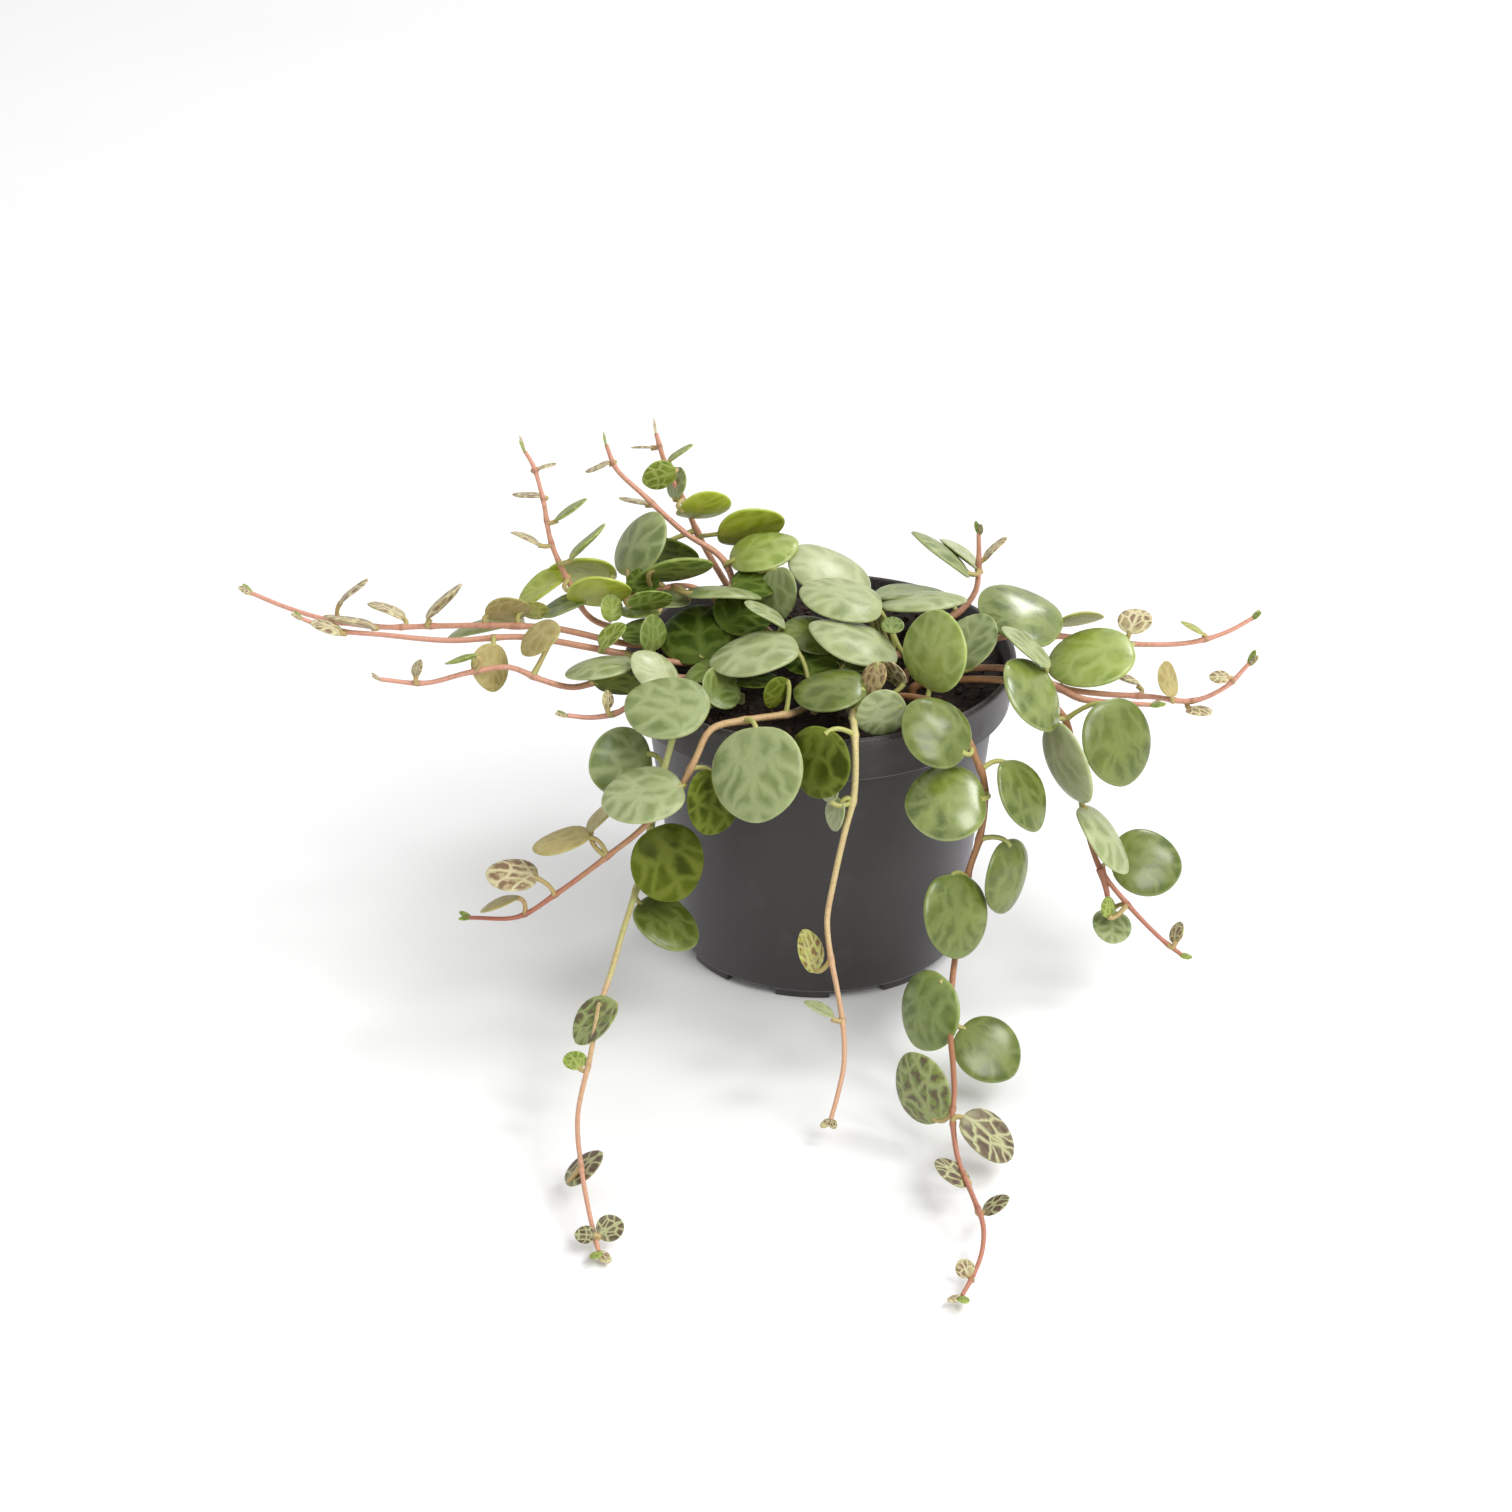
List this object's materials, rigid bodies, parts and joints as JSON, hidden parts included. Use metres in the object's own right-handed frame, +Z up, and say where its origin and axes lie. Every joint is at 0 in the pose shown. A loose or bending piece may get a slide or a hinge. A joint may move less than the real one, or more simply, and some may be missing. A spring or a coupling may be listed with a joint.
{
  "type": "potted string of turtles plant",
  "caption": "Small round nursery pot of soil with a trailing string of turtles: thin stems that spread, rise and hang over the rim, with thick round veined leaves",
  "frame": {"origin": "the middle of the pot's underside, on the surface that it stands on", "axes": "+Z up; -Y is the front, where the longest strings hang over the rim; +X is the viewer's right"},
  "size_m": [0.1528, 0.1327, 0.0797],
  "materials": {
    "pot_plastic": "dark warm grey, matt with a soft sheen at the sides",
    "potting_soil": "dark brown peat and wood fibre, moist and crumbly",
    "stem_skin": "smooth, half-gloss, pink red to tan",
    "leaf_skin": "waxy and glossy, mid green with pale broad veins; young leaves cream with brown patches"
  },
  "bodies": {
    "root": {"pot": "pot_plastic", "soil": "potting_soil", "stem_crown_left": "stem_skin", "stem_front_left": "stem_skin", "stem_front_mid": "stem_skin", "stem_front_right": "stem_skin", "stem_left_down": "stem_skin", "stem_left_long": "stem_skin", "stem_left_low": "stem_skin", "stem_left_mid": "stem_skin", "stem_left_short": "stem_skin", "stem_right_down": "stem_skin", "stem_right_high": "stem_skin", "stem_right_low": "stem_skin", "stem_upright_back": "stem_skin", "stem_upright_left": "stem_skin", "stem_upright_mid": "stem_skin", "stem_upright_right": "stem_skin", "leaf_crown_left_1": "leaf_skin", "leaf_crown_left_2": "leaf_skin", "leaf_crown_left_3": "leaf_skin", "leaf_front_left_1": "leaf_skin", "leaf_front_left_2": "leaf_skin", "leaf_front_left_3": "leaf_skin", "leaf_front_left_4": "leaf_skin", "leaf_front_mid_1": "leaf_skin", "leaf_front_mid_2": "leaf_skin", "leaf_front_mid_3": "leaf_skin", "leaf_front_right_1": "leaf_skin", "leaf_front_right_2": "leaf_skin", "leaf_front_right_3": "leaf_skin", "leaf_front_right_4": "leaf_skin", "leaf_front_right_5": "leaf_skin", "leaf_front_right_6": "leaf_skin", "leaf_front_right_7": "leaf_skin", "leaf_front_right_8": "leaf_skin", "leaf_front_right_9": "leaf_skin", "leaf_left_down_1": "leaf_skin", "leaf_left_down_2": "leaf_skin", "leaf_left_down_3": "leaf_skin", "leaf_left_long_1": "leaf_skin", "leaf_left_long_2": "leaf_skin", "leaf_left_mid_1": "leaf_skin", "leaf_right_down_1": "leaf_skin", "leaf_right_down_2": "leaf_skin", "leaf_right_down_3": "leaf_skin", "leaf_right_down_4": "leaf_skin", "leaf_right_down_5": "leaf_skin", "leaf_right_high_1": "leaf_skin", "leaf_right_high_2": "leaf_skin", "leaf_right_high_3": "leaf_skin", "leaf_right_high_4": "leaf_skin", "leaf_right_high_5": "leaf_skin", "leaf_upright_back_1": "leaf_skin", "leaf_upright_back_2": "leaf_skin", "leaf_upright_left_1": "leaf_skin", "leaf_upright_left_2": "leaf_skin", "leaf_upright_mid_1": "leaf_skin", "leaf_upright_right_1": "leaf_skin", "leaf_upright_right_2": "leaf_skin"}
  },
  "joints": []
}
